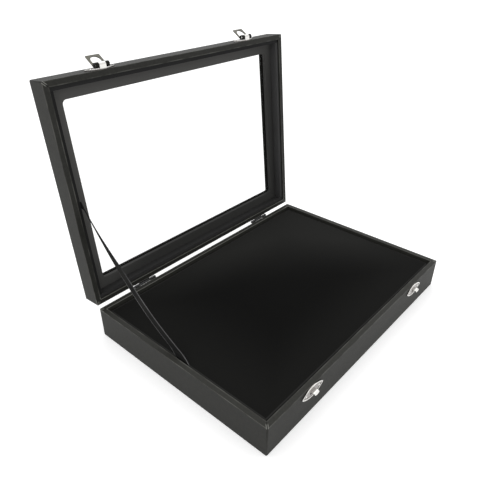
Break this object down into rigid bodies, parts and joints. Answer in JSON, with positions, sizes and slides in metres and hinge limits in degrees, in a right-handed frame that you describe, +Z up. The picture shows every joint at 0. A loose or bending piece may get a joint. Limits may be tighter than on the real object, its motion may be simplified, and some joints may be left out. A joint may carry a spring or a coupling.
{
  "type": "badge display case",
  "caption": "Shallow hinged display case in dark leatherette: padded velvet tray in the base, glazed window lid held open by a ribbon stay, nickel loop clasps on the front.",
  "frame": {"origin": "centre of the flat underside that the case rests on", "axes": "+X to the right along the width, +Y from the clasps at the front to the hinges at the rear, +Z up"},
  "size_m": [0.35, 0.2986, 0.2952],
  "materials": {
    "board": "raw fibreboard, hidden under the wrap",
    "leatherette": "matt, finely grained dark grey leatherette",
    "underside_sheet": "matt black paper-backed cloth",
    "card": "grey-brown card",
    "foam": "soft foam, hidden under the velvet",
    "velvet": "short black pile with a faint sheen at grazing angles",
    "ribbon": "black satin ribbon with woven edges",
    "glass": "clear flat glass",
    "mat": "matt dark grey leatherette over board",
    "strip": "matt black cloth over wood",
    "dark_metal": "black lacquered steel",
    "nickel": "bright nickel plate"
  },
  "bodies": {
    "base": {"base_bottom_board": "board", "base_front_board": "board", "base_rear_board": "board", "base_left_board": "board", "base_right_board": "board", "base_wrap": "leatherette", "base_underside_sheet": "underside_sheet", "pad_card": "card", "pad_foam": "foam", "pad_velvet": "velvet", "stay_ribbon": "ribbon", "catch_plate_left": "nickel", "catch_plate_right": "nickel", "catch_nails": "nickel", "hinge_base_leaf_left": "dark_metal", "hinge_base_leaf_right": "dark_metal", "hinge_pin_left": "dark_metal", "hinge_pin_right": "dark_metal", "hinge_base_screws": "dark_metal"},
    "lid": {"lid_front_board": "board", "lid_rear_board": "board", "lid_left_board": "board", "lid_right_board": "board", "lid_window_panel": "board", "lid_wrap": "leatherette", "glass_pane": "glass", "window_mat": "mat", "strip_front": "strip", "strip_rear": "strip", "strip_left": "strip", "strip_right": "strip", "hinge_lid_leaf_left": "dark_metal", "hinge_lid_leaf_right": "dark_metal", "hinge_lid_screws": "dark_metal", "clasp_plate_left": "nickel", "clasp_plate_right": "nickel", "clasp_pin_left": "nickel", "clasp_pin_right": "nickel", "clasp_nails": "nickel"},
    "clasp_left": {"clasp_loop_left": "nickel"},
    "clasp_right": {"clasp_loop_right": "nickel"}
  },
  "joints": [
    {"name": "lid_hinge", "type": "hinge", "parent": "base", "child": "lid", "pos_m": [0, 0.1251, 0.0377], "axis": [1, 0, 0], "range_deg": [0, 95.2], "deforming": ["stay_ribbon"]},
    {"name": "clasp_left_swing", "type": "hinge", "parent": "lid", "child": "clasp_left", "pos_m": [-0.1075, 0.152, 0.28809], "axis": [1, 0, 0], "range_deg": [-30, 152]},
    {"name": "clasp_right_swing", "type": "hinge", "parent": "lid", "child": "clasp_right", "pos_m": [0.1075, 0.152, 0.28809], "axis": [1, 0, 0], "range_deg": [-30, 152]}
  ]
}
